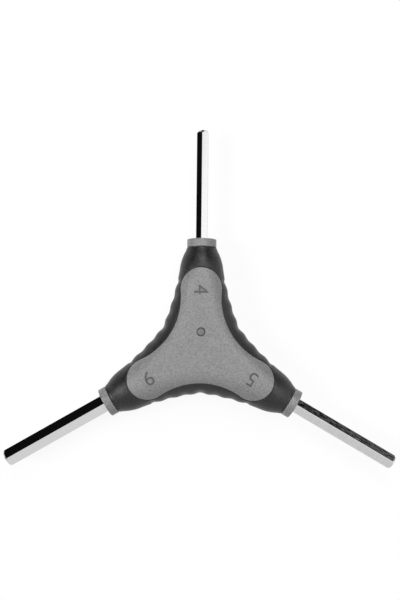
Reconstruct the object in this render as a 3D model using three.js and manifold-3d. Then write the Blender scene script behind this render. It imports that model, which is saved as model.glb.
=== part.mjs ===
// A Y wrench: three straight hexagon keys of three sizes at 120 degrees in one moulded handle. The handle is
// a hard grey core, whose trefoil panel shows on both faces, with a soft black grip moulded round it.
//
// Lengths are in millimetres and angles in degrees. +Z is the normal of the front face, +Y runs along the arm
// of the 4 mm key, and the origin is the middle of the flat back face, on which the wrench rests.

import * as THREE from "three";
import { mergeVertices } from "three/addons/utils/BufferGeometryUtils.js";
import Module from "manifold-3d";

const wasm = await Module();
wasm.setup();

// The handle as a whole
const armCount = 3;
const firstArmAngle = 90;
const handleThickness = 16;
const fitGap = 0.3;
const cutOverrun = 1;

// The silhouette between two arms, as tangent arcs from the middle of the hollow out to the collar. Each angle
// is the outline's fall towards the arm's axis where one arc ends and the next begins.
const hollowDepth = 15.8;
const hollowRadius = 21.8;
const flankRadius = 82;
const shoulderRadius = 16.7;
const neckRadius = 4.7;
const barrelAngle = 7.8;
const shoulderAngle = 28.2;
const collarAngle = 7.5;

// The handle's section: a flat land along each arm, then a rounded edge down to the silhouette
const edgeWidth = 8;
const landHalfWidth = 1.2;
const landTaperLength = 8;
const landEndToGripEnd = 6.1;
const crestBlend = 0.8;
const ribLeanLength = 19;
const ribLeanEase = 1.5;

// The finger ridges in each hollow
const ridgePitch = 5.6;
const ridgesPerFlank = 3;
const ridgeDepth = 0.32;
const ridgeReach = 2;
const middleGrooveExtraDepth = 0.25;
const middleGrooveHalfWidth = 3;
const lastGrooveExtraDepth = 0.19;
const lastGrooveHalfWidth = 1.45;

// The grey panel, a trefoil of lobe arcs and hollow arcs, and the grip's rim beside it
const lobeCentreToGripEnd = 14.85;
const rimAtLobe = 1.98;
const rimAtHollow = 4.04;
const dimpleRadius = 1.6;
const dimpleDepth = 0.35;
const dimplePlace = 6;

// The soft grip's wall, thinner at the collars, and the lip by which it stands out round them
const gripWall = 1.3;
const gripWallAtCollar = 0.75;
const wallTaperLength = 9.1;
const gripLip = 0.12;

// The collars
const collarRadius = 5.2;
const collarLength = 2.6;
const collarEdgeRound = 0.45;
const coreOverlapInCollar = 1;

// The keys. Reach is what stands out of the collar, and the roll angle turns a key about its own length from
// having a corner straight up.
const smallKeyAcrossFlats = 4;
const middleKeyAcrossFlats = 5;
const largeKeyAcrossFlats = 6;
const smallKeyReach = 38.4;
const middleKeyReach = 40;
const largeKeyReach = 39.8;
const smallKeyRollAngle = 5.4;
const middleKeyRollAngle = 6;
const largeKeyRollAngle = 0;
const keyInnerEnd = 9;
const keyTipChamfer = 0.65;
const keyNeckStart = 12;
const keyNeckLength = 4;
const keyNeckDepth = 0.3;

// How finely curves are faceted. The skin is fine enough for the ridges, and what lies inside it is coarser.
const skinDetail = { hollowSteps: 4, flankSteps: 20, shoulderSteps: 4, neckSteps: 3, edgeSteps: 6 };
const innerDetail = { hollowSteps: 2, flankSteps: 6, shoulderSteps: 3, neckSteps: 2, edgeSteps: 4 };
const panelDetail = { ...innerDetail, edgeSteps: 6 };
const outlineSteps = 10;
const turnedSteps = 24;
const cornerRoundSteps = 2;

const keys = [
  {
    name: "hex_key_4mm",
    arm: 0,
    acrossFlats: smallKeyAcrossFlats,
    reach: smallKeyReach,
    rollAngle: smallKeyRollAngle,
  },
  {
    name: "hex_key_6mm",
    arm: 1,
    acrossFlats: largeKeyAcrossFlats,
    reach: largeKeyReach,
    rollAngle: largeKeyRollAngle,
  },
  {
    name: "hex_key_5mm",
    arm: 2,
    acrossFlats: middleKeyAcrossFlats,
    reach: middleKeyReach,
    rollAngle: middleKeyRollAngle,
  },
];

const halfThickness = handleThickness / 2;
const sectorAngle = 360 / armCount;
const bisectorAngle = sectorAngle / 2;
const radians = THREE.MathUtils.degToRad;
const degrees = THREE.MathUtils.radToDeg;
const sine = (angle) => Math.sin(radians(angle));
const cosine = (angle) => Math.cos(radians(angle));
const armAngle = (arm) => firstArmAngle + sectorAngle * arm;
const turnFromY = (arm) => radians(armAngle(arm) - 90);

// Solids

function toSolid(geometry) {
  geometry.deleteAttribute("normal");
  geometry.deleteAttribute("uv");
  const merged = mergeVertices(geometry);
  const corners = merged.index.array;
  const triangles = [];
  for (let i = 0; i < corners.length; i += 3) {
    const [a, b, c] = corners.slice(i, i + 3);
    if (a !== b && b !== c && c !== a) {
      triangles.push(a, b, c);
    }
  }
  return new wasm.Manifold(new wasm.Mesh({
    numProp: 3,
    vertProperties: new Float32Array(merged.attributes.position.array),
    triVerts: new Uint32Array(triangles),
  }));
}

function toGeometry(solid) {
  const data = solid.getMesh();
  const geometry = new THREE.BufferGeometry();
  geometry.setAttribute("position", new THREE.BufferAttribute(data.vertProperties, data.numProp));
  geometry.setIndex(new THREE.BufferAttribute(data.triVerts, 1));
  return geometry;
}

function toMesh(name, solid, material) {
  const geometry = toGeometry(solid);
  geometry.computeVertexNormals();
  const mesh = new THREE.Mesh(geometry, material);
  mesh.name = name;
  return mesh;
}

const joined = (solids) => solids.reduce((whole, solid) => whole.add(solid));

// A solid turned about the Y axis, from [radius, distance from the handle's centre] points
function turned(profile) {
  const points = profile.map(([radius, distance]) => new THREE.Vector2(radius, distance));
  return toSolid(new THREE.LatheGeometry(points, turnedSteps));
}

// A solid made along +Y, swung round to its arm
const onArm = (solid, arm) => toSolid(toGeometry(solid).rotateZ(turnFromY(arm)));

// The silhouette of half an arm

// One arc of the outline, walked from a start point while its heading turns from one angle to another
function walkArc(start, radius, toHeading, steps) {
  const turn = Math.sign(toHeading - start.heading);
  const points = [];
  for (let i = 1; i <= steps; i += 1) {
    const heading = start.heading + ((toHeading - start.heading) * i) / steps;
    points.push({
      along: start.along + turn * radius * (sine(heading) - sine(start.heading)),
      side: start.side - turn * radius * (cosine(heading) - cosine(start.heading)),
      travelled: start.travelled + radius * radians(Math.abs(heading - start.heading)),
      heading,
    });
  }
  return points;
}

const hollowMiddle = {
  along: hollowDepth * cosine(bisectorAngle),
  side: hollowDepth * sine(bisectorAngle),
  travelled: 0,
  heading: bisectorAngle - 90,
};

// The fall at which the flank's arc follows the hollow's, so that the outline ends a lip outside the collar
function angleBeforeFlank() {
  const shoulderFall = shoulderRadius * (cosine(barrelAngle) - cosine(shoulderAngle));
  const neckFall = neckRadius * (cosine(collarAngle) - cosine(shoulderAngle));
  const fallBeforeShoulder = hollowMiddle.side - (collarRadius + gripLip) - shoulderFall - neckFall;
  const radiiShare = flankRadius * cosine(barrelAngle) - hollowRadius * cosine(hollowMiddle.heading);
  return degrees(Math.acos((radiiShare - fallBeforeShoulder) / (flankRadius - hollowRadius)));
}

const flankAngle = angleBeforeFlank();

function armOutline({ hollowSteps, flankSteps, shoulderSteps, neckSteps }) {
  const points = [hollowMiddle];
  const arcs = [
    [hollowRadius, -flankAngle, hollowSteps],
    [flankRadius, -barrelAngle, flankSteps],
    [shoulderRadius, -shoulderAngle, shoulderSteps],
    [neckRadius, -collarAngle, neckSteps],
  ];
  for (const [radius, toHeading, steps] of arcs) {
    points.push(...walkArc(points.at(-1), radius, toHeading, steps));
  }
  return points;
}

const gripEnd = armOutline(skinDetail).at(-1);
const collarStart = gripEnd.along + fitGap;
const collarEnd = collarStart + collarLength;
const landEnd = gripEnd.along - landEndToGripEnd;

// The lesser of two lengths, with a smooth change over the blend length
function softLesser(a, b) {
  const closeness = Math.max(crestBlend - Math.abs(a - b), 0);
  return Math.min(a, b) - closeness ** 2 / (4 * crestBlend);
}

// How far along a change from one place to another a point is, from 0 to 1, starting and ending gently
const easedShare = (value, start, end) => THREE.MathUtils.smoothstep(value, start, end);

// How far a ridge stands out from the mean outline, at a distance along the outline from the hollow's middle
function ridgeHeight(travelled) {
  const ridgesEnd = ridgePitch * ridgesPerFlank;
  const halfDepth = ridgeDepth / 2;
  if (travelled > ridgesEnd) {
    const lastGrooveDepth = halfDepth + lastGrooveExtraDepth;
    return -lastGrooveDepth * (1 - easedShare(travelled, ridgesEnd, ridgesEnd + lastGrooveHalfWidth));
  }
  const wave = halfDepth * Math.cos((2 * Math.PI * travelled) / ridgePitch);
  const middleShare = 1 - easedShare(travelled, 0, middleGrooveHalfWidth);
  const lastShare = easedShare(travelled, ridgesEnd - lastGrooveHalfWidth, ridgesEnd);
  return -wave - middleGrooveExtraDepth * middleShare - lastGrooveExtraDepth * lastShare;
}

function gripWallAt(along) {
  const thinning = easedShare(along, gripEnd.along - wallTaperLength, gripEnd.along);
  return gripWall + (gripWallAtCollar - gripWall) * thinning;
}

// A rib is the handle's section from the land's edge out to one point of the outline
function ribAt(point) {
  const leanShare = Math.max(1 - point.travelled / ribLeanLength, 0) ** ribLeanEase;
  const lean = (90 - bisectorAngle) * leanShare;
  const length = point.side / cosine(lean);
  const taper = THREE.MathUtils.clamp((landEnd - point.along) / landTaperLength, 0, 1);
  const width = Math.min(edgeWidth, length - landHalfWidth * taper);
  const landSide = taper > 0 ? point.side - width * cosine(lean) : 0;
  return {
    lean,
    width,
    height: softLesser(halfThickness, point.side),
    landAlong: point.along - width * sine(lean),
    landSide,
    travelled: point.travelled,
    wall: gripWallAt(point.along),
  };
}

// The handle's skin, or one inside it

// inset gives how far below the full skin a rib's surface lies; extension carries the arms on past the grip
function handleBody(detail, { inset, ridged, extension }) {
  const { edgeSteps } = detail;
  const points = armOutline(detail);
  if (extension > 0) {
    points.push({ ...gripEnd, along: gripEnd.along + extension });
  }
  const ribs = points.map(ribAt);
  const lastRib = ribs.length - 1;
  const topStep = 2 * edgeSteps;
  const positions = [];
  const indexOf = new Map();

  function place(arm, side, rib, step) {
    const { lean, width, height, landAlong, landSide, travelled, wall } = ribs[rib];
    const depth = inset(wall);
    const angle = 90 * (step / edgeSteps - 1);
    const fromSilhouette = width * (1 - cosine(angle));
    const ridgeFade = ridged ? 1 - easedShare(fromSilhouette, 0, ridgeReach) : 0;
    const reach = (width - depth) * cosine(angle) + ridgeHeight(travelled) * ridgeFade;
    const along = landAlong + reach * sine(lean);
    const across = side * (landSide + reach * cosine(lean));
    const turn = armAngle(arm);
    positions.push(along * cosine(turn) - across * sine(turn));
    positions.push(along * sine(turn) + across * cosine(turn));
    positions.push((height - depth) * sine(angle));
  }

  // Neighbouring arms share the rib in the hollow's middle, and an arm's sides share a crest with no land
  function corner(arm, side, rib, step) {
    const onLand = step === 0 || step === topStep;
    if (rib === 0 && side < 0) {
      return corner((arm + armCount - 1) % armCount, 1, rib, step);
    }
    if (onLand && side < 0 && ribs[rib].landSide === 0) {
      return corner(arm, 1, rib, step);
    }
    const key = [arm, side, rib, step].join();
    if (!indexOf.has(key)) {
      indexOf.set(key, positions.length / 3);
      place(arm, side, rib, step);
    }
    return indexOf.get(key);
  }

  const faces = [];
  function addFace(...corners) {
    const [a, b, c, d] = corners;
    if (new Set([a, b, c]).size === 3) {
      faces.push(a, b, c);
    }
    if (d !== undefined && new Set([a, c, d]).size === 3) {
      faces.push(a, c, d);
    }
  }

  for (let arm = 0; arm < armCount; arm += 1) {
    const left = (rib, step) => corner(arm, 1, rib, step);
    const right = (rib, step) => corner(arm, -1, rib, step);
    for (let rib = 0; rib < lastRib; rib += 1) {
      for (let step = 0; step < topStep; step += 1) {
        addFace(left(rib, step), left(rib, step + 1), left(rib + 1, step + 1), left(rib + 1, step));
        addFace(right(rib, step), right(rib + 1, step), right(rib + 1, step + 1), right(rib, step + 1));
      }
      addFace(right(rib, topStep), right(rib + 1, topStep), left(rib + 1, topStep), left(rib, topStep));
      addFace(left(rib, 0), left(rib + 1, 0), right(rib + 1, 0), right(rib, 0));
    }
    const hub = positions.length / 3;
    const turn = armAngle(arm);
    positions.push(points.at(-1).along * cosine(turn), points.at(-1).along * sine(turn), 0);
    for (let step = 0; step < topStep; step += 1) {
      addFace(hub, left(lastRib, step), left(lastRib, step + 1));
      addFace(hub, right(lastRib, step + 1), right(lastRib, step));
    }
    addFace(hub, left(lastRib, topStep), right(lastRib, topStep));
    addFace(hub, right(lastRib, 0), left(lastRib, 0));
  }
  for (let arm = 2; arm < armCount; arm += 1) {
    addFace(corner(0, 1, 0, topStep), corner(arm - 1, 1, 0, topStep), corner(arm, 1, 0, topStep));
    addFace(corner(arm, 1, 0, 0), corner(arm - 1, 1, 0, 0), corner(0, 1, 0, 0));
  }

  const geometry = new THREE.BufferGeometry();
  geometry.setAttribute("position", new THREE.Float32BufferAttribute(positions, 3));
  geometry.setIndex(faces);
  return toSolid(geometry);
}

// The panel

// The half width of the outline where the flank's arc passes a place along the arm
function sideOnFlank(along) {
  const [flankStart] = walkArc(hollowMiddle, hollowRadius, -flankAngle, 1);
  const fallShare = sine(flankAngle) - (along - flankStart.along) / flankRadius;
  return flankStart.side - flankRadius * (Math.sqrt(1 - fallShare ** 2) - cosine(flankAngle));
}

// A trefoil column right through the handle. Its hollow arcs are tangent to its lobes.
function panelColumn(growth) {
  const lobeCentre = gripEnd.along - lobeCentreToGripEnd;
  const lobeRadius = sideOnFlank(lobeCentre) - rimAtLobe;
  const panelHollowDepth = hollowDepth - rimAtHollow;
  const depthPastLobe = panelHollowDepth - lobeRadius;
  const hollowCentre = (lobeCentre ** 2 - depthPastLobe ** 2) / (lobeCentre - 2 * depthPastLobe);
  const hollowArcRadius = hollowCentre - panelHollowDepth;
  const tangentAngle = degrees(Math.atan2(
    hollowCentre * sine(bisectorAngle),
    hollowCentre * cosine(bisectorAngle) - lobeCentre,
  ));
  const shape = new THREE.Shape();
  for (let arm = 0; arm < armCount; arm += 1) {
    const turn = armAngle(arm);
    const between = turn + bisectorAngle;
    shape.absarc(
      lobeCentre * cosine(turn),
      lobeCentre * sine(turn),
      lobeRadius + growth,
      radians(turn - tangentAngle),
      radians(turn + tangentAngle),
      false,
    );
    shape.absarc(
      hollowCentre * cosine(between),
      hollowCentre * sine(between),
      hollowArcRadius - growth,
      radians(turn + tangentAngle + 180),
      radians(turn + sectorAngle - tangentAngle + 180),
      true,
    );
  }
  const height = handleThickness + 2 * cutOverrun;
  const geometry = new THREE.ExtrudeGeometry(shape, {
    depth: height,
    bevelEnabled: false,
    curveSegments: outlineSteps,
  });
  geometry.translate(0, 0, -height / 2);
  return toSolid(geometry);
}

// A small round recess in the front panel, on the first arm's side of the middle
function dimple() {
  const geometry = new THREE.CylinderGeometry(dimpleRadius, dimpleRadius, 2 * dimpleDepth, turnedSteps);
  geometry.rotateX(radians(90));
  geometry.translate(dimplePlace * cosine(firstArmAngle), dimplePlace * sine(firstArmAngle), halfThickness);
  return toSolid(geometry);
}

// The collars

function collar() {
  const profile = [
    [0, collarStart],
    [collarRadius, collarStart],
  ];
  for (let i = 0; i <= cornerRoundSteps; i += 1) {
    const angle = (90 * i) / cornerRoundSteps;
    profile.push([
      collarRadius - collarEdgeRound * (1 - cosine(angle)),
      collarEnd - collarEdgeRound * (1 - sine(angle)),
    ]);
  }
  profile.push([0, collarEnd]);
  return turned(profile);
}

// The keys

// A key along +Y, or with a growth the cutter for its socket
function keySolid({ acrossFlats, reach, rollAngle }, growth) {
  const flats = acrossFlats / 2 + growth;
  const corners = flats / cosine(30);
  const neck = acrossFlats / 2 - keyNeckDepth + growth;
  const start = keyInnerEnd - growth;
  const end = collarEnd + reach + growth;

  const section = new THREE.Shape();
  for (let i = 0; i < 6; i += 1) {
    const angle = 30 - rollAngle + 60 * i;
    section[i === 0 ? "moveTo" : "lineTo"](corners * cosine(angle), corners * sine(angle));
  }
  section.closePath();
  const bar = new THREE.ExtrudeGeometry(section, { depth: end - start, bevelEnabled: false });
  bar.rotateX(radians(-90));
  bar.translate(0, start, 0);

  return toSolid(bar).intersect(turned([
    [0, start],
    [corners + cutOverrun, start],
    [corners + cutOverrun, keyNeckStart + growth],
    [neck, keyNeckStart + growth],
    [neck, keyNeckStart + keyNeckLength - growth],
    [corners + cutOverrun, keyNeckStart + keyNeckLength - growth],
    [corners + cutOverrun, end - keyTipChamfer - cutOverrun],
    [corners - keyTipChamfer, end],
    [0, end],
  ]));
}

// The pieces

const panelMaterial = new THREE.MeshStandardMaterial({ color: 0x8d8d8d, roughness: 0.6, metalness: 0 });
const gripMaterial = new THREE.MeshStandardMaterial({ color: 0x2e2e2e, roughness: 0.7, metalness: 0 });
const steelMaterial = new THREE.MeshStandardMaterial({ color: 0xb8b8b8, roughness: 0.15, metalness: 1 });

function handleCore() {
  const armsEnd = fitGap + coreOverlapInCollar;
  const arms = handleBody(innerDetail, { inset: (wall) => wall, ridged: false, extension: armsEnd });
  const skin = handleBody(panelDetail, { inset: () => 0, ridged: false, extension: 0 });
  const panels = skin.intersect(panelColumn(0));
  const collars = keys.map(({ arm }) => onArm(collar(), arm));
  const sockets = keys.map((key) => onArm(keySolid(key, fitGap), key.arm));
  return joined([arms, panels, ...collars]).subtract(joined(sockets)).subtract(dimple());
}

function rubberGrip() {
  const skin = handleBody(skinDetail, { inset: () => 0, ridged: true, extension: 0 });
  const roomInset = (wall) => wall - fitGap;
  const armsRoom = handleBody(innerDetail, { inset: roomInset, ridged: false, extension: cutOverrun });
  return skin.subtract(armsRoom).subtract(panelColumn(fitGap));
}

const wrench = new THREE.Group();
wrench.position.z = halfThickness;
wrench.add(toMesh("handle_core", handleCore(), panelMaterial));
wrench.add(toMesh("rubber_grip", rubberGrip(), gripMaterial));
for (const key of keys) {
  const mesh = toMesh(key.name, keySolid(key, 0), steelMaterial);
  mesh.rotation.z = turnFromY(key.arm);
  wrench.add(mesh);
}

const part = new THREE.Group();
part.add(wrench);

export default part;
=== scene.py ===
import math

import bpy
import numpy as np
from mathutils import Matrix, Vector


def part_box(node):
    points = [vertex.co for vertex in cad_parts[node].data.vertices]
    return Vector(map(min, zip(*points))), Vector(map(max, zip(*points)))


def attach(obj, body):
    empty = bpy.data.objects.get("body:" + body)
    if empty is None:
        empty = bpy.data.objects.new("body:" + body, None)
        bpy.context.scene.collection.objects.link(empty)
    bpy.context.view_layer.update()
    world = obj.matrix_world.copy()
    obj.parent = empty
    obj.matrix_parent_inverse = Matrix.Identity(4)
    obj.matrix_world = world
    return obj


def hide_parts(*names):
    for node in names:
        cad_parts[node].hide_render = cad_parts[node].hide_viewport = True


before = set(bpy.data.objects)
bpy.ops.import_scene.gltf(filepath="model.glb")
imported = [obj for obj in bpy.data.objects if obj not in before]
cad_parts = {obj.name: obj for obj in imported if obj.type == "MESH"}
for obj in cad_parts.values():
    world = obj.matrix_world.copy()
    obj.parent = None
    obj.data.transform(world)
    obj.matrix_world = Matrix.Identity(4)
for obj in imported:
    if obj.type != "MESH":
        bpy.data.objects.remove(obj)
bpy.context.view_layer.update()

mm = 0.001
hairline = 0.001 * mm
weldWithin = 0.002 * mm
tiny = 1e-9  # keeps a division from meeting nought
coreLow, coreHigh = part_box("handle_core")
halfThickness = (coreHigh.z - coreLow.z) / 2
midHeight = (coreHigh.z + coreLow.z) / 2
armTurns = {"hex_key_4mm": 90, "hex_key_6mm": 210, "hex_key_5mm": 330}  # degrees, where each key's arm points
bpy.ops.object.select_all(action="DESELECT")


# Small tools for meshes

def pickOnly(piece):
    bpy.ops.object.select_all(action="DESELECT")
    piece.select_set(True)
    bpy.context.view_layer.objects.active = piece


# sets what is picked, with nothing picked yet
def startPicking(piece, mode):
    pickOnly(piece)
    bpy.ops.object.mode_set(mode="EDIT")
    bpy.ops.mesh.select_mode(type=mode)
    bpy.ops.mesh.select_all(action="DESELECT")
    bpy.ops.object.mode_set(mode="OBJECT")


# picks the elements that pass the test, and leaves the piece in edit mode
def selectWhere(elements, test):
    for element in elements:
        element.select = bool(test(element))
    bpy.ops.object.mode_set(mode="EDIT")


def places(piece):
    found = np.empty(len(piece.data.vertices) * 3, np.float32)
    piece.data.vertices.foreach_get("co", found)
    return found.reshape(-1, 3).astype(float)


def setPlaces(piece, found):
    piece.data.vertices.foreach_set("co", found.astype(np.float32).ravel())
    piece.data.update()


def applyModifier(piece, kind, **settings):
    pickOnly(piece)
    modifier = piece.modifiers.new(kind.title(), kind)
    for name, value in settings.items():
        setattr(modifier, name, value)
    bpy.ops.object.modifier_apply(modifier=modifier.name)


def bevelSharp(piece, width, segments, sharpAngle):
    applyModifier(
        piece, "BEVEL", width=width, segments=segments,
        limit_method="ANGLE", angle_limit=math.radians(sharpAngle),
    )


# adds a primitive with nothing else picked
def addPrimitive(add, **settings):
    bpy.ops.object.select_all(action="DESELECT")
    add(**settings)
    return bpy.context.active_object


def joinPieces(name, pieces):
    bpy.ops.object.select_all(action="DESELECT")
    for piece in pieces:
        piece.select_set(True)
    bpy.context.view_layer.objects.active = pieces[0]
    if len(pieces) > 1:
        bpy.ops.object.join()
    pieces[0].name = name
    return pieces[0]


def weld(piece, distance):
    startPicking(piece, "VERT")
    bpy.ops.object.mode_set(mode="EDIT")
    bpy.ops.mesh.select_all(action="SELECT")
    bpy.ops.mesh.remove_doubles(threshold=distance)
    bpy.ops.mesh.normals_make_consistent(inside=False)
    bpy.ops.object.mode_set(mode="OBJECT")


def turnedCopy(piece, degrees):
    copy = piece.copy()
    copy.data = piece.data.copy()
    bpy.context.scene.collection.objects.link(copy)
    copy.data.transform(Matrix.Rotation(math.radians(degrees), 4, "Z"))
    return copy


# from an arm's own frame, along +X at z 0, to where the arm points
def armSwing(degrees):
    return Matrix.Translation((0, 0, midHeight)) @ Matrix.Rotation(math.radians(degrees), 4, "Z")


def cutBy(piece, cutters, operation="DIFFERENCE"):
    for cutter in cutters:
        applyModifier(
            piece, "BOOLEAN", operation=operation, object=cutter, solver="EXACT", material_mode="TRANSFER"
        )
        bpy.data.objects.remove(cutter)


def finishPiece(piece, material, node, smoothAngle):
    pickOnly(piece)
    bpy.ops.object.shade_smooth_by_angle(angle=math.radians(smoothAngle), keep_sharp_edges=False)
    if material:
        piece.data.materials.clear()
        piece.data.materials.append(material)
    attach(piece, "root")
    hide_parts(node)
    print("made", piece.name, len(piece.data.polygons), "faces")


# The handle's surface, worked out for one arm along +X with its middle plane at z 0; angles in degrees

handle = {
    "hollowDepth": 15.8 * mm,
    "hollowRadius": 21.8 * mm,
    "flankRadius": 82 * mm,
    "shoulderRadius": 16.7 * mm,
    "neckRadius": 4.7 * mm,
    "barrelAngle": 7.8,
    "shoulderAngle": 28.2,
    "collarAngle": 7.5,
    "endRadius": 5.32 * mm,
    "edgeWidth": 8 * mm,
    "landHalfWidth": 1.2 * mm,
    "landTaperLength": 8 * mm,
    "landEndToGripEnd": 6.1 * mm,
    "crestBlend": 0.8 * mm,
    "leanLength": 19 * mm,
    "leanEase": 1.5,
    "ridgePitch": 5.6 * mm,
    "ridgesPerFlank": 3,
    "ridgeDepth": 0.32 * mm,
    "ridgeReach": 2 * mm,
    "middleGrooveExtra": 0.25 * mm,
    "middleGrooveHalfWidth": 3 * mm,
    "lastGrooveExtra": 0.19 * mm,
    "lastGrooveHalfWidth": 1.45 * mm,
}


def cosine(degrees):
    return math.cos(math.radians(degrees))


def sine(degrees):
    return math.sin(math.radians(degrees))


def easedShare(value, start, end):
    share = np.clip((value - start) / (end - start), 0, 1)
    return share * share * (3 - 2 * share)


# the outline's fall where the flank's arc follows the hollow's, so that the arm ends at its radius
def angleBeforeFlank():
    barrel = cosine(handle["barrelAngle"])
    shoulder = cosine(handle["shoulderAngle"])
    shoulderFall = handle["shoulderRadius"] * (barrel - shoulder)
    neckFall = handle["neckRadius"] * (cosine(handle["collarAngle"]) - shoulder)
    fall = handle["hollowDepth"] * sine(60) - handle["endRadius"] - shoulderFall - neckFall
    rest = handle["flankRadius"] * barrel - handle["hollowRadius"] * cosine(30) - fall
    return math.degrees(math.acos(rest / (handle["flankRadius"] - handle["hollowRadius"])))


# tangent arcs from a hollow's middle out to the collar
def makeArcs():
    here = {
        "along": handle["hollowDepth"] * cosine(60),
        "side": handle["hollowDepth"] * sine(60),
        "heading": math.radians(-30),
        "travelled": 0,
    }
    arcs = []
    for radius, angle in (
        (handle["hollowRadius"], angleBeforeFlank()),
        (handle["flankRadius"], handle["barrelAngle"]),
        (handle["shoulderRadius"], handle["shoulderAngle"]),
        (handle["neckRadius"], handle["collarAngle"]),
    ):
        heading = -math.radians(angle)
        bend = radius if heading > here["heading"] else -radius
        arcs.append({**here, "bend": bend})
        here = {
            "along": here["along"] + bend * (math.sin(heading) - math.sin(here["heading"])),
            "side": here["side"] - bend * (math.cos(heading) - math.cos(here["heading"])),
            "travelled": here["travelled"] + bend * (heading - here["heading"]),
            "heading": heading,
        }
    return arcs, here


outlineArcs, gripEnd = makeArcs()


def outlineAt(travelled):
    starts = [arc["travelled"] for arc in outlineArcs]
    which = np.clip(np.searchsorted(starts, travelled, side="right") - 1, 0, len(starts) - 1)
    arc = {value: np.array([arc[value] for arc in outlineArcs])[which] for value in outlineArcs[0]}
    heading = arc["heading"] + (travelled - arc["travelled"]) / arc["bend"]
    along = arc["along"] + arc["bend"] * (np.sin(heading) - np.sin(arc["heading"]))
    side = arc["side"] - arc["bend"] * (np.cos(heading) - np.cos(arc["heading"]))
    return along, side


# a rib is the section from the land's edge out to one point of the outline
def ribAt(travelled):
    along, side = outlineAt(travelled)
    lean = math.radians(30) * np.maximum(1 - travelled / handle["leanLength"], 0) ** handle["leanEase"]
    landEnd = gripEnd["along"] - handle["landEndToGripEnd"]
    taper = np.clip((landEnd - along) / handle["landTaperLength"], 0, 1)
    width = np.minimum(handle["edgeWidth"], side / np.cos(lean) - handle["landHalfWidth"] * taper)
    closeness = np.maximum(handle["crestBlend"] - abs(halfThickness - side), 0)
    return {
        "outlineAlong": along,
        "outlineSide": side,
        "lean": lean,
        "width": width,
        "height": np.minimum(halfThickness, side) - closeness ** 2 / (4 * handle["crestBlend"]),
        "landAlong": along - width * np.sin(lean),
        "landSide": np.where(taper > 0, side - width * np.cos(lean), 0),
    }


def curvedShare(rib):
    return 1 / (1 + rib["landSide"] / (math.pi / 4 * (rib["width"] + rib["height"])))


def ridgeHeight(travelled):
    ridgesEnd = handle["ridgePitch"] * handle["ridgesPerFlank"]
    halfWidth = handle["lastGrooveHalfWidth"]
    wave = handle["ridgeDepth"] / 2 * np.cos(2 * math.pi * travelled / handle["ridgePitch"])
    middle = handle["middleGrooveExtra"] * (1 - easedShare(travelled, 0, handle["middleGrooveHalfWidth"]))
    last = handle["lastGrooveExtra"] * easedShare(travelled, ridgesEnd - halfWidth, ridgesEnd)
    fading = 1 - easedShare(travelled, ridgesEnd, ridgesEnd + halfWidth)
    beyond = (handle["ridgeDepth"] / 2 + handle["lastGrooveExtra"]) * fading
    return -np.where(travelled > ridgesEnd, beyond, wave + middle + last)


# a place on the skin; share runs from 0 at the silhouette to 1 on the arm's top line
def skinPlace(travelled, share, inset, ridged):
    rib = ribAt(travelled)
    curved = curvedShare(rib)
    angle = math.pi / 2 * np.minimum(share / curved, 1)
    landShare = np.clip((share - curved) / np.maximum(1 - curved, tiny), 0, 1)
    reach = (rib["width"] - inset) * np.cos(angle)
    if ridged:
        fade = 1 - easedShare(rib["width"] * (1 - np.cos(angle)), 0, handle["ridgeReach"])
        reach = reach + ridgeHeight(travelled) * fade
    along = rib["landAlong"] + reach * np.sin(rib["lean"])
    across = rib["landSide"] * (1 - landShare) + reach * np.cos(rib["lean"])
    return np.stack([along, across, (rib["height"] - inset) * np.sin(angle)], -1)


halvings = 45


# the rib that passes through a place in plan, found by halving the outline's length
def ribThrough(along, across):
    low = np.zeros_like(along)
    high = np.full_like(along, gripEnd["travelled"])
    for _ in range(halvings):
        middle = (low + high) / 2
        rib = ribAt(middle)
        pastAlong, pastAcross = along - rib["outlineAlong"], across - rib["outlineSide"]
        ahead = pastAlong * np.cos(rib["lean"]) > pastAcross * np.sin(rib["lean"])
        low = np.where(ahead, middle, low)
        high = np.where(ahead, high, middle)
    landward, sideways = along - rib["landAlong"], across - rib["landSide"]
    return middle, rib, landward * np.sin(rib["lean"]) + sideways * np.cos(rib["lean"])


def skinHeight(along, across):
    _, rib, reach = ribThrough(along, across)
    cosAngle = np.clip(reach / rib["width"], 0, 1)
    return rib["height"] * np.sqrt(1 - cosAngle ** 2)


def skinShare(along, across):
    travelled, rib, reach = ribThrough(along, across)
    curved = curvedShare(rib)
    onCurve = curved * (2 / math.pi) * np.arccos(np.clip(reach / rib["width"], 0, 1))
    onLand = curved + (1 - curved) * (1 - across / np.maximum(rib["landSide"], tiny))
    return travelled, np.where(reach > 0, onCurve, np.clip(onLand, 0, 1))


# The grey panel's outline: lobe arcs and hollow arcs, tangent to each other

panel = {
    "lobeRadius": 7.33 * mm,
    "lobeCentre": 21.12 * mm,
    "hollowDepth": 11.93 * mm,
    "columns": 88,
}


def panelOutline(growth):
    pastLobe = panel["hollowDepth"] - panel["lobeRadius"]
    centre = (panel["lobeCentre"] ** 2 - pastLobe ** 2) / (panel["lobeCentre"] - 2 * pastLobe)
    radius = centre - panel["hollowDepth"]
    hollowX, hollowY = centre * cosine(60), centre * sine(60)
    towardsLobe = math.atan2(-hollowY, panel["lobeCentre"] - hollowX)
    tangent = towardsLobe + math.pi
    sweep = towardsLobe - math.radians(-120)
    lobeLength = panel["lobeRadius"] * tangent
    distance = np.linspace(0, lobeLength + radius * sweep, panel["columns"] + 1)
    onLobe = distance / panel["lobeRadius"]
    onHollow = towardsLobe - (distance - lobeLength) / radius
    isLobe = distance <= lobeLength
    lobeSize, hollowSize = panel["lobeRadius"] + growth, radius - growth
    along = np.where(
        isLobe, panel["lobeCentre"] + lobeSize * np.cos(onLobe), hollowX + hollowSize * np.cos(onHollow)
    )
    across = np.where(isLobe, lobeSize * np.sin(onLobe), hollowY + hollowSize * np.sin(onHollow))
    return along, across, distance, lobeLength


# The sheets from which the core's skin and the grip's are joined

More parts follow.
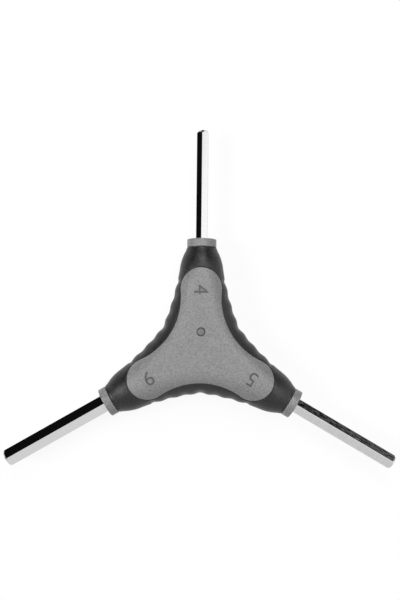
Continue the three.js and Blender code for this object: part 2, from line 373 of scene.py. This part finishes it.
skin = {
    "tubeLength": 0.9 * mm,
    "tubeRows": 3,
    "endSetBack": 0.3 * mm,
    "cornerTurn": 42,  # degrees round the lobe, where the sheet turns from the tube to the silhouette
}


# a quarter of an arm's skin outside the panel: columns run round the panel, rows out to the silhouette
def outerSheet(growth, rows, inset, ridged):
    along, across, distance, lobeLength = panelOutline(growth)
    travelled, share = skinShare(along, across)
    tubeEnd = gripEnd["travelled"] - skin["endSetBack"]
    tube = tubeEnd - skin["tubeLength"]
    corner = int(round(math.radians(skin["cornerTurn"]) * panel["lobeRadius"] / distance[1]))
    column = np.arange(len(along))
    fan = np.clip((lobeLength - distance) / (lobeLength - distance[corner]), 0, 1) ** 2
    outerTravelled = np.where(column <= corner, tube, travelled + (tube - travelled[corner]) * fan)
    outerShare = np.clip(1 - column / corner, 0, 1)
    row = np.linspace(0, 1, rows + 1)[:, None]
    rowTravelled = travelled + (outerTravelled - travelled) * row
    sheet = skinPlace(rowTravelled, share + (outerShare - share) * row, inset, ridged)
    step = np.linspace(0, 1, skin["tubeRows"] + 1)[:, None]
    end = skinPlace(tube + (tubeEnd - tube) * step, outerShare[None, : corner + 1] + 0 * step, inset, ridged)
    return sheet, end


# a grid primitive whose rows and columns take the places of a worked out sheet
def layGrid(name, sheet):
    rows, columns = sheet.shape[0] - 1, sheet.shape[1] - 1
    piece = addPrimitive(bpy.ops.mesh.primitive_grid_add, x_subdivisions=columns, y_subdivisions=rows, size=1)
    piece.name = name
    flat = places(piece)
    column = np.rint((flat[:, 0] + 0.5) * columns).astype(int)
    row = np.rint((flat[:, 1] + 0.5) * rows).astype(int)
    setPlaces(piece, sheet[row, column])
    return piece


def wholeArm(name, sheets):
    arm = joinPieces(name, [layGrid(name + str(i), sheet) for i, sheet in enumerate(sheets)])
    weld(arm, weldWithin)
    applyModifier(arm, "MIRROR", use_axis=(False, True, True), merge_threshold=weldWithin)
    return arm


def threeArms(name, arm):
    whole = joinPieces(name, [arm, turnedCopy(arm, 120), turnedCopy(arm, 240)])
    weld(whole, 2 * weldWithin)
    whole.data.transform(armSwing(90))
    return whole


# Soft grip

grip = {
    "gapToPanel": 0.13 * mm,
    "rows": 15,
    "wall": 1.05 * mm,
    "lipRound": 0.2 * mm,
    "lipSegments": 3,
    "sharpAngle": 55,
    "smoothAngle": 50,
}


def makeGrip(material):
    sheet, end = outerSheet(grip["gapToPanel"], grip["rows"], 0, True)
    piece = threeArms("softGrip", wholeArm("gripArm", [sheet, end]))
    applyModifier(piece, "SOLIDIFY", thickness=grip["wall"], offset=-1, use_even_offset=True)
    bevelSharp(piece, grip["lipRound"], grip["lipSegments"], grip["sharpAngle"])
    finishPiece(piece, material, "rubber_grip", grip["smoothAngle"])
    return piece


# Hard core: the panels, the arms under the grip, the collars and the sockets

core = {
    "rows": 24,
    "innerLine": 23 * mm,
    "innerEase": 1.6,
    "firstRowShare": 0.07,
    "wallDepth": 1.1 * mm,
    "wallRows": 3,
    "outerRows": 5,
    "collarGap": 0.25 * mm,
    "collarRadius": 5.2 * mm,
    "collarLength": 2.8 * mm,
    "collarRows": 4,
    "edgeRound": 0.16 * mm,
    "edgeSegments": 3,
    "sharpAngle": 55,
    "smoothAngle": 40,
    "socketPlay": 0.03 * mm,
}


def panelSheet():
    along, across, distance, _ = panelOutline(0)
    inner = core["innerLine"] * (1 - (distance / distance[-1]) ** core["innerEase"])
    row = np.concatenate([[0], np.linspace(core["firstRowShare"], 1, core["rows"])])[:, None]
    sheetAlong = along + (inner - along) * row
    sheetAcross = across * (1 - row)
    return np.stack([sheetAlong, sheetAcross, skinHeight(sheetAlong, sheetAcross)], -1)


def wallSheet(panelEdge, outerEdge):
    step = np.linspace(0, 1, core["wallRows"] + 1)[:, None, None]
    return panelEdge + (outerEdge - panelEdge) * step


def addCollar(arm):
    startPicking(arm, "VERT")
    spots = places(arm)
    ring = spots[:, 0].max()
    growth = core["collarRadius"] / spots[spots[:, 0] > ring - hairline, 2].max()
    selectWhere(arm.data.vertices, lambda v: v.co.x > ring - hairline)
    bpy.ops.mesh.extrude_region_move(TRANSFORM_OT_translate={"value": (core["collarGap"], 0, 0)})
    bpy.ops.mesh.extrude_region_move(TRANSFORM_OT_translate={"value": (0, 0, 0)})
    bpy.ops.transform.resize(value=(1, growth, growth), center_override=(ring + core["collarGap"], 0, 0))
    rowLength = core["collarLength"] / core["collarRows"]
    for _ in range(core["collarRows"]):
        bpy.ops.mesh.extrude_region_move(TRANSFORM_OT_translate={"value": (rowLength, 0, 0)})
    bpy.ops.mesh.edge_face_add()
    bpy.ops.object.mode_set(mode="OBJECT")


def makeCore(material, recessShadeMaterial, buttonShadeMaterial):
    face = panelSheet()
    sheet, end = outerSheet(0, core["outerRows"], core["wallDepth"], False)
    arm = wholeArm("coreArm", [face, wallSheet(face[0], sheet[0]), sheet, end])
    addCollar(arm)
    piece = threeArms("hardCore", arm)
    bevelSharp(piece, core["edgeRound"], core["edgeSegments"], core["sharpAngle"])
    piece.data.materials.append(material)
    cutBy(piece, [makeKeyBody("socket" + node, keyPlace(node), core["socketPlay"]) for node in armTurns])
    # the sunk ring and numerals are lined with a dark grey, painted shade in their recesses
    sunk = [makeButtonRing(side) for side in (1, -1)]
    sunk += [makeNumeral(node, side) for node in armTurns for side in (1, -1)]
    # the button's top is cut a little down and given a dimmer grey, painted shade inside the ring
    tops = [makeButtonTop(side) for side in (1, -1)]
    for cutter in sunk + tops:
        cutter.data.materials.append(buttonShadeMaterial if cutter in tops else recessShadeMaterial)
    cutBy(piece, sunk + tops)
    finishPiece(piece, None, "handle_core", core["smoothAngle"])
    return piece


# Marks sunk into the panels: one plain size numeral in each lobe, and a ring round a small button

marks = {
    "numeralHeight": 5.3 * mm,
    "numeralPlace": 20.6 * mm,
    "numeralSteps": 6,
    "capShare": 0.727,  # a capital's height in the built-in font, for a text size of 1
    "depth": 0.34 * mm,
    "ringPlace": 6 * mm,
    "ringRadius": 1.55 * mm,
    "ringLift": 1.4,  # of the depth, so that the button stands inside the ring
    "buttonRadius": 0.8 * mm,
    "topDepth": 0.08 * mm,
    "topOverlap": 0.1 * mm,
    "sides": 48,
    "facesDown": -0.9,
}


# stands a mark on the front panel, side 1, or on the back one, side -1, and turns it to its arm
def sinkMark(mark, along, degrees, side):
    flip = Matrix.Rotation(0 if side > 0 else math.pi, 4, "X")
    place = Matrix.Translation((along, 0, side * halfThickness)) @ flip @ Matrix.Rotation(math.pi, 4, "Z")
    mark.data.transform(place)
    mark.data.transform(armSwing(degrees))


def makeNumeral(node, side):
    text = addPrimitive(bpy.ops.object.text_add, location=(0, 0, 0))
    text.data.body = node.split("_")[-1][0]
    text.data.size = marks["numeralHeight"] / marks["capShare"]
    text.data.align_x = "CENTER"
    text.data.align_y = "CENTER"
    text.data.extrude = marks["depth"]
    text.data.resolution_u = marks["numeralSteps"]
    bpy.ops.object.convert(target="MESH")
    numeral = bpy.context.active_object
    weld(numeral, weldWithin)
    spots = places(numeral)
    setPlaces(numeral, spots - (spots.min(axis=0) + spots.max(axis=0)) / 2)
    sinkMark(numeral, marks["numeralPlace"], armTurns[node], side)
    return numeral


# a round cutter whose lower face is inset by its rim, and lifted there
def makeDiscCutter(side, radius, depth, rim, lift):
    disc = addPrimitive(
        bpy.ops.mesh.primitive_cylinder_add,
        vertices=marks["sides"], radius=radius, depth=depth * 2, end_fill_type="NGON",
    )
    startPicking(disc, "FACE")
    selectWhere(disc.data.polygons, lambda f: f.normal.z < marks["facesDown"])
    bpy.ops.mesh.inset(thickness=rim, depth=0)
    bpy.ops.transform.translate(value=(0, 0, lift))
    bpy.ops.object.mode_set(mode="OBJECT")
    sinkMark(disc, marks["ringPlace"], armTurns["hex_key_4mm"], side)
    return disc


def makeButtonRing(side):
    rim = marks["ringRadius"] - marks["buttonRadius"]
    return makeDiscCutter(side, marks["ringRadius"], marks["depth"], rim, marks["depth"] * marks["ringLift"])


# the shallow cut gives the button's top its dimmer grey, painted shade
def makeButtonTop(side):
    radius = marks["buttonRadius"] + marks["topOverlap"]
    return makeDiscCutter(side, radius, marks["topDepth"], 2 * marks["topOverlap"], 0)


# Hexagon keys, made along +X and swung to their arms

key = {
    "edgeRound": 0.07 * mm,
    "wornRound": 0.2 * mm,  # the 5 mm key's long edges
    "tipShare": 0.995,  # end radius to that of the CAD key
    "tipAngle": 35,  # between the chamfer and the bar
    "neckDepth": 0.3 * mm,
    "neckStart": 3 * mm,
    "neckLength": 4 * mm,
    "roundSegments": 4,
    "sharpAngle": 50,
    "smoothAngle": 20,
    "endTolerance": 0.01 * mm,
    "blankShare": 1.2,  # the blank's radius to the key's corner radius
    "blankExtra": 1 * mm,
    "blankSides": 96,
}


# a key's corner radius, roll, both ends and tip radius, read from its node
def keyPlace(node):
    spots = places(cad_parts[node]) - np.array([0, 0, midHeight])
    turn = math.radians(-armTurns[node])
    along = spots[:, 0] * math.cos(turn) - spots[:, 1] * math.sin(turn)
    across = spots[:, 0] * math.sin(turn) + spots[:, 1] * math.cos(turn)
    highest = int(np.argmax(spots[:, 2]))
    atTip = along > along.max() - key["endTolerance"]
    return {
        "cornerRadius": math.hypot(across[highest], spots[highest, 2]),
        "roll": math.atan2(across[highest], spots[highest, 2]),
        "start": along.min(),
        "end": along.max(),
        "tipRadius": abs(across[atTip]).max() * key["tipShare"],
        "turn": armTurns[node],
        "edgeRound": key["wornRound"] if node == "hex_key_5mm" else key["edgeRound"],
    }


# a hexagon bar along +X, turned down to its neck and tip; play grows it all over, to cut its socket
def makeKeyBody(name, place, play):
    radius = place["cornerRadius"] + play / cosine(30)
    start = place["start"] - play
    length = place["end"] - start
    piece = addPrimitive(
        bpy.ops.mesh.primitive_cylinder_add,
        vertices=6, radius=radius, depth=length, end_fill_type="NGON",
    )
    piece.name = name
    lying = Matrix.Rotation(math.pi / 2, 4, "Y")
    piece.data.transform(Matrix.Translation((start + length / 2, 0, 0)) @ lying)
    spots = places(piece)
    corner = math.atan2(spots[0, 1], spots[0, 2])
    piece.data.transform(Matrix.Rotation(corner - place["roll"], 4, "X"))
    bevelSharp(piece, place["edgeRound"], key["roundSegments"], key["sharpAngle"])
    cutBy(piece, [makeBlank({**place, "start": start, "cornerRadius": radius}, play)], "INTERSECT")
    piece.data.transform(armSwing(place["turn"]))
    return piece


def makeKey(node, name, groups, finish):
    material = makeSteel(name + "Steel", groups, armTurns[node], finish)
    finishPiece(makeKeyBody(name, keyPlace(node), 0), material, node, key["smoothAngle"])


# the round blank that gives a key its neck and chamfered tip
def makeBlank(place, play):
    wide = place["cornerRadius"] * key["blankShare"]
    neck = place["cornerRadius"] * cosine(30) - key["neckDepth"]
    neckStart = place["start"] + key["neckStart"] + 2 * play
    neckEnd = neckStart + key["neckLength"] - 2 * play
    chamferStart = place["end"] - (wide - place["tipRadius"]) / math.tan(math.radians(key["tipAngle"]))
    profile = [
        (place["start"] - key["blankExtra"], wide),
        (neckStart, wide),
        (neckStart, neck),
        (neckEnd, neck),
        (neckEnd, wide),
        (chamferStart, wide),
        (place["end"], place["tipRadius"]),
    ]
    here, radius = profile[0]
    blank = addPrimitive(
        bpy.ops.mesh.primitive_circle_add,
        vertices=key["blankSides"], radius=radius, fill_type="NGON",
        location=(here, 0, 0), rotation=(0, math.pi / 2, 0),
    )
    bpy.ops.object.transform_apply(location=True, rotation=True, scale=True)
    bpy.ops.object.mode_set(mode="EDIT")
    bpy.ops.mesh.select_all(action="SELECT")
    for along, nextRadius in profile[1:]:
        bpy.ops.mesh.extrude_region_move(TRANSFORM_OT_translate={"value": (along - here, 0, 0)})
        share = nextRadius / radius
        bpy.ops.transform.resize(value=(1, share, share), center_override=(along, 0, 0))
        here, radius = along, nextRadius
    bpy.ops.mesh.select_all(action="SELECT")
    bpy.ops.mesh.normals_make_consistent(inside=False)
    bpy.ops.object.mode_set(mode="OBJECT")
    return blank


# Finishes

mouldGrain = {
    "detail": 2,
    "roughness": 0.6,
    "finerBy": 2.6,
    "finerDetail": 1,
    "heights": (0.7, 1.3),
    "tones": (0.36, 0.64),
}
handling = {"scale": 130, "detail": 3, "range": (0.38, 0.66)}
barDetail = 2
barMarks = {
    "Along": {"scale": (90, 2600, 2600), "range": (0.3, 0.7)},
    "Across": {"scale": (2600, 160, 160), "range": (0.3, 0.7)},
    "Blotches": {"scale": (480, 3600, 3600), "range": (0.36, 0.66)},
}
plastic = {"grain": 1900, "roughness": 0.4, "rubbed": 0.34, "specular": 0.62}
rubber = {"grain": 1700, "roughness": 0.38, "rubbed": 0.32, "specular": 0.35}
mouldings = {
    "panelGrey": {**plastic, "dark": (0.142, 0.142, 0.142), "light": (0.235, 0.235, 0.235)},
    # painted shade, for the faces of the sunk numerals and ring
    "recessShadeGrey": {**plastic, "dark": (0.035, 0.035, 0.035), "light": (0.055, 0.055, 0.055)},
    # painted shade, for the button's top inside the ring
    "buttonShadeGrey": {**plastic, "dark": (0.09, 0.09, 0.09), "light": (0.14, 0.14, 0.14)},
    "gripBlack": {**rubber, "dark": (0.001, 0.001, 0.0011), "light": (0.017, 0.017, 0.0175)},
}
mouldedBump = {"strength": 0.9, "depth": 0.045 * mm}
plated = {
    "roughness": 0.07,
    "wear": 0.03,
    "bump": 0.03,
    "dull": (0.605, 0.605, 0.61),
    "bright": (0.64, 0.64, 0.645),
}
rubbedBare = {
    "roughness": 0.16,
    "wear": 0.2,
    "bump": 0.15,
    "dull": (0.53, 0.53, 0.535),
    "bright": (0.59, 0.59, 0.595),
}
steelBumpDepth = 0.003 * mm


def addNode(tree, kind, settings, sockets):
    node = tree.nodes.new("ShaderNode" + kind)
    for name, value in settings.items():
        setattr(node, name, value)
    for socket, value in sockets.items():
        if isinstance(value, bpy.types.NodeSocket):
            tree.links.new(value, node.inputs[socket])
        else:
            node.inputs[socket].default_value = value
    return node


# a Mix node's sockets go by number, one set for colours and one for values
def mixColours(tree, factor, first, second):
    sockets = {0: factor, 6: (*first, 1), 7: (*second, 1)}
    return addNode(tree, "Mix", {"data_type": "RGBA"}, sockets).outputs[2]


def mixValues(tree, factor, first, second):
    return addNode(tree, "Mix", {"data_type": "FLOAT"}, {0: factor, 2: first, 3: second}).outputs[0]


def spread(tree, value, given, wanted=(0, 1)):
    sockets = {
        "Value": value, "From Min": given[0], "From Max": given[1], "To Min": wanted[0], "To Max": wanted[1],
    }
    return addNode(tree, "MapRange", {"clamp": True}, sockets).outputs["Result"]


def calculate(tree, operation, first, second):
    return addNode(tree, "Math", {"operation": operation}, {0: first, 1: second}).outputs[0]


def newGroup(name, inputs, outputs):
    group = bpy.data.node_groups.new(name, "ShaderNodeTree")
    for label, kind in inputs.items():
        group.interface.new_socket(name=label, in_out="INPUT", socket_type=kind)
    for label in outputs:
        group.interface.new_socket(name=label, in_out="OUTPUT", socket_type="NodeSocketFloat")
    return group, group.nodes.new("NodeGroupInput").outputs, group.nodes.new("NodeGroupOutput").inputs


# the small grain of a moulded skin: tone for its colour and height for its bumps, both 0 to 1
def makeMouldGrain():
    group, given, put = newGroup(
        "mouldGrain", {"Vector": "NodeSocketVector", "Scale": "NodeSocketFloat"}, ["Tone", "Height"]
    )
    coarse = addNode(group, "TexNoise", {}, {
        "Vector": given["Vector"],
        "Scale": given["Scale"],
        "Detail": mouldGrain["detail"],
        "Roughness": mouldGrain["roughness"],
    }).outputs[0]
    fine = addNode(group, "TexNoise", {}, {
        "Vector": given["Vector"],
        "Scale": calculate(group, "MULTIPLY", given["Scale"], mouldGrain["finerBy"]),
        "Detail": mouldGrain["finerDetail"],
    }).outputs[0]
    both = calculate(group, "ADD", coarse, fine)
    group.links.new(spread(group, both, mouldGrain["heights"]), put["Height"])
    group.links.new(spread(group, coarse, mouldGrain["tones"]), put["Tone"])
    return group


# faint rubbed patches, wide and soft, 0 to 1
def makeHandling():
    group, given, put = newGroup("handling", {"Vector": "NodeSocketVector"}, ["Rubbed"])
    noise = addNode(group, "TexNoise", {}, {
        "Vector": given["Vector"], "Scale": handling["scale"], "Detail": handling["detail"],
    })
    group.links.new(spread(group, noise.outputs[0], handling["range"]), put["Rubbed"])
    return group


# marks of drawing along a bar and of grinding across it, for a vector whose X runs along the bar
def makeBarMarks():
    group, given, put = newGroup("barMarks", {"Vector": "NodeSocketVector"}, list(barMarks))
    for label, mark in barMarks.items():
        stretched = addNode(group, "Mapping", {}, {"Vector": given["Vector"], "Scale": mark["scale"]})
        noise = addNode(group, "TexNoise", {}, {
            "Vector": stretched.outputs[0], "Scale": 1, "Detail": barDetail,
        })
        group.links.new(spread(group, noise.outputs[0], mark["range"]), put[label])
    return group


def placeGroup(tree, group, sockets):
    return addNode(tree, "Group", {"node_tree": group}, sockets).outputs


def startMaterial(name):
    material = bpy.data.materials.new(name)
    material.use_nodes = True
    return material, material.node_tree, material.node_tree.nodes["Principled BSDF"]


def objectSpot(tree):
    return tree.nodes.new("ShaderNodeTexCoord").outputs["Object"]


def setSockets(shader, values):
    for name, value in values.items():
        shader.inputs[name].default_value = value


def bumpy(tree, shader, height, strength, depth):
    bump = addNode(tree, "Bump", {}, {"Height": height, "Strength": strength, "Distance": depth})
    tree.links.new(bump.outputs["Normal"], shader.inputs["Normal"])


def makeMoulded(name, groups):
    material, tree, shader = startMaterial(name)
    finish = mouldings[name]
    spot = objectSpot(tree)
    grain = placeGroup(tree, groups["mouldGrain"], {"Vector": spot, "Scale": finish["grain"]})
    rubbed = placeGroup(tree, groups["handling"], {"Vector": spot})["Rubbed"]
    colour = mixColours(tree, grain["Tone"], finish["dark"], finish["light"])
    roughness = spread(tree, rubbed, (0, 1), (finish["roughness"], finish["rubbed"]))
    tree.links.new(colour, shader.inputs["Base Color"])
    tree.links.new(roughness, shader.inputs["Roughness"])
    bumpy(tree, shader, grain["Height"], mouldedBump["strength"], mouldedBump["depth"])
    setSockets(shader, {"Specular IOR Level": finish["specular"]})
    return material


def makeSteel(name, groups, degrees, finish):
    material, tree, shader = startMaterial(name)
    turned = addNode(tree, "Mapping", {}, {
        "Vector": objectSpot(tree), "Rotation": (0, 0, math.radians(-degrees)),
    })
    bar = placeGroup(tree, groups["barMarks"], {"Vector": turned.outputs[0]})
    colour = mixColours(tree, bar["Across"], finish["dull"], finish["bright"])
    roughest = finish["roughness"] + finish["wear"]
    roughness = spread(tree, bar["Blotches"], (0, 1), (finish["roughness"], roughest))
    tree.links.new(colour, shader.inputs["Base Color"])
    tree.links.new(roughness, shader.inputs["Roughness"])
    bumpy(tree, shader, bar["Along"], finish["bump"], steelBumpDepth)
    setSockets(shader, {"Metallic": 1})
    return material


# Camera, floor and light; azimuths and elevations are in degrees

view = {
    "height": 285 * mm,  # above the handle's middle plane
    "lens": 48.14,
    "roll": 0.6,
    "shiftX": -0.0012,
    "shiftY": 0.082,
    "nearest": 0.01,
    "furthest": 10,
}
ground = {
    "size": 6,
    "colour": (0.97, 0.97, 0.97, 1),
    "roughness": 0.9,
    "specular": 0.1,
    "white": 0.91,  # the part of what is seen of it that is plain white
}
softbox = {"size": 0.7, "distance": 1.5}
lamps = {
    "leftSoftbox": {"azimuth": 186, "tilt": 46, "energy": 14.6},
    "backSoftbox": {"azimuth": 90, "tilt": 46, "energy": 7},
    "cornerSoftbox": {"azimuth": 58, "tilt": 25, "energy": 7},
    "rightSoftbox": {"azimuth": 350, "tilt": 42, "energy": 3.6},
}
room = {
    "ambient": 0.06,
    "paleAzimuth": 300,  # the side that polished steel reflects as pale
    "sides": (-0.2, 0.2),
    "sideLight": (0.006, 1.0),
    "cornerAzimuth": -7,
    "cornerElevation": 37,
    "corner": (0.7, 0.88),
    "cornerLight": (0, 0.5),
    "overhead": (0.72, 0.9),
    "overheadLight": 1.35,
}


def makeCamera():
    data = bpy.data.cameras.new("camera")
    data.lens = view["lens"]
    data.shift_x = view["shiftX"]
    data.shift_y = view["shiftY"]
    data.clip_start = view["nearest"]
    data.clip_end = view["furthest"]
    camera = bpy.data.objects.new("camera", data)
    bpy.context.scene.collection.objects.link(camera)
    camera.location = (0, 0, midHeight + view["height"])
    camera.rotation_euler = (0, 0, math.radians(view["roll"]))
    bpy.context.scene.camera = camera


def makeLamp(name, azimuth, tilt, energy):
    data = bpy.data.lights.new(name, "AREA")
    data.shape = "DISK"
    data.size = softbox["size"]
    data.energy = energy
    light = bpy.data.objects.new(name, data)
    bpy.context.scene.collection.objects.link(light)
    direction = Vector((cosine(azimuth) * sine(tilt), sine(azimuth) * sine(tilt), cosine(tilt)))
    light.location = Vector((0, 0, midHeight)) + direction * softbox["distance"]
    light.rotation_euler = direction.to_track_quat("Z", "Y").to_euler()
    light.light_linking.receiver_collection = lampLit


def makeFloor():
    floor = addPrimitive(bpy.ops.mesh.primitive_plane_add, size=ground["size"], location=(0, 0, 0))
    floor.name = "floor"
    material, tree, shader = startMaterial("paleFloor")
    setSockets(shader, {
        "Base Color": ground["colour"],
        "Roughness": ground["roughness"],
        "Specular IOR Level": ground["specular"],
    })
    white = addNode(tree, "Emission", {}, {"Color": (1, 1, 1, 1), "Strength": 1})
    rays = tree.nodes.new("ShaderNodeLightPath").outputs
    seen = calculate(tree, "MAXIMUM", rays["Is Camera Ray"], rays["Is Glossy Ray"])
    share = calculate(tree, "MULTIPLY", seen, ground["white"])
    mix = addNode(tree, "MixShader", {}, {0: share, 1: shader.outputs[0], 2: white.outputs[0]})
    tree.links.new(mix.outputs[0], tree.nodes["Material Output"].inputs["Surface"])
    floor.data.materials.append(material)
    return floor


# even light for matt surfaces; polished ones see a dark side, a pale side and a bright corner of the room
def makeWorld():
    world = bpy.data.worlds.new("studio")
    bpy.context.scene.world = world
    world.use_nodes = True
    tree = world.node_tree
    direction = tree.nodes.new("ShaderNodeTexCoord").outputs["Generated"]
    rays = tree.nodes.new("ShaderNodeLightPath").outputs

    # light that grows with the cosine of the angle between a ray and the aim
    def towards(azimuth, elevation, cosines, light):
        aim = (cosine(azimuth) * cosine(elevation), sine(azimuth) * cosine(elevation), sine(elevation))
        dot = addNode(tree, "VectorMath", {"operation": "DOT_PRODUCT"}, {0: direction, 1: aim})
        return spread(tree, dot.outputs["Value"], cosines, light)

    sides = towards(room["paleAzimuth"], 0, room["sides"], room["sideLight"])
    corner = towards(room["cornerAzimuth"], room["cornerElevation"], room["corner"], room["cornerLight"])
    height = addNode(tree, "SeparateXYZ", {}, {0: direction}).outputs["Z"]
    around = calculate(tree, "ADD", sides, corner)
    mirrored = mixValues(tree, spread(tree, height, room["overhead"]), around, room["overheadLight"])
    lighting = mixValues(tree, rays["Is Glossy Ray"], room["ambient"], mirrored)
    strength = mixValues(tree, rays["Is Camera Ray"], lighting, 1)
    background = tree.nodes["Background"]
    tree.links.new(strength, background.inputs["Strength"])
    setSockets(background, {"Color": (1, 1, 1, 1)})


bpy.context.scene.view_settings.view_transform = "Standard"
lampLit = bpy.data.collections.new("lampLit")  # the keys aren't in it, so that no lamp glares in their flats
makeCamera()
lampLit.objects.link(makeFloor())
makeWorld()
for name, lamp in lamps.items():
    makeLamp(name, **lamp)
print("stage is set")

groups = {"mouldGrain": makeMouldGrain(), "handling": makeHandling(), "barMarks": makeBarMarks()}
panelGrey, recessShadeGrey, buttonShadeGrey, gripBlack = (makeMoulded(name, groups) for name in mouldings)
print("finishes are mixed")

lampLit.objects.link(makeGrip(gripBlack))
lampLit.objects.link(makeCore(panelGrey, recessShadeGrey, buttonShadeGrey))
makeKey("hex_key_4mm", "smallKey", groups, plated)
makeKey("hex_key_5mm", "middleKey", groups, rubbedBare)
makeKey("hex_key_6mm", "largeKey", groups, plated)
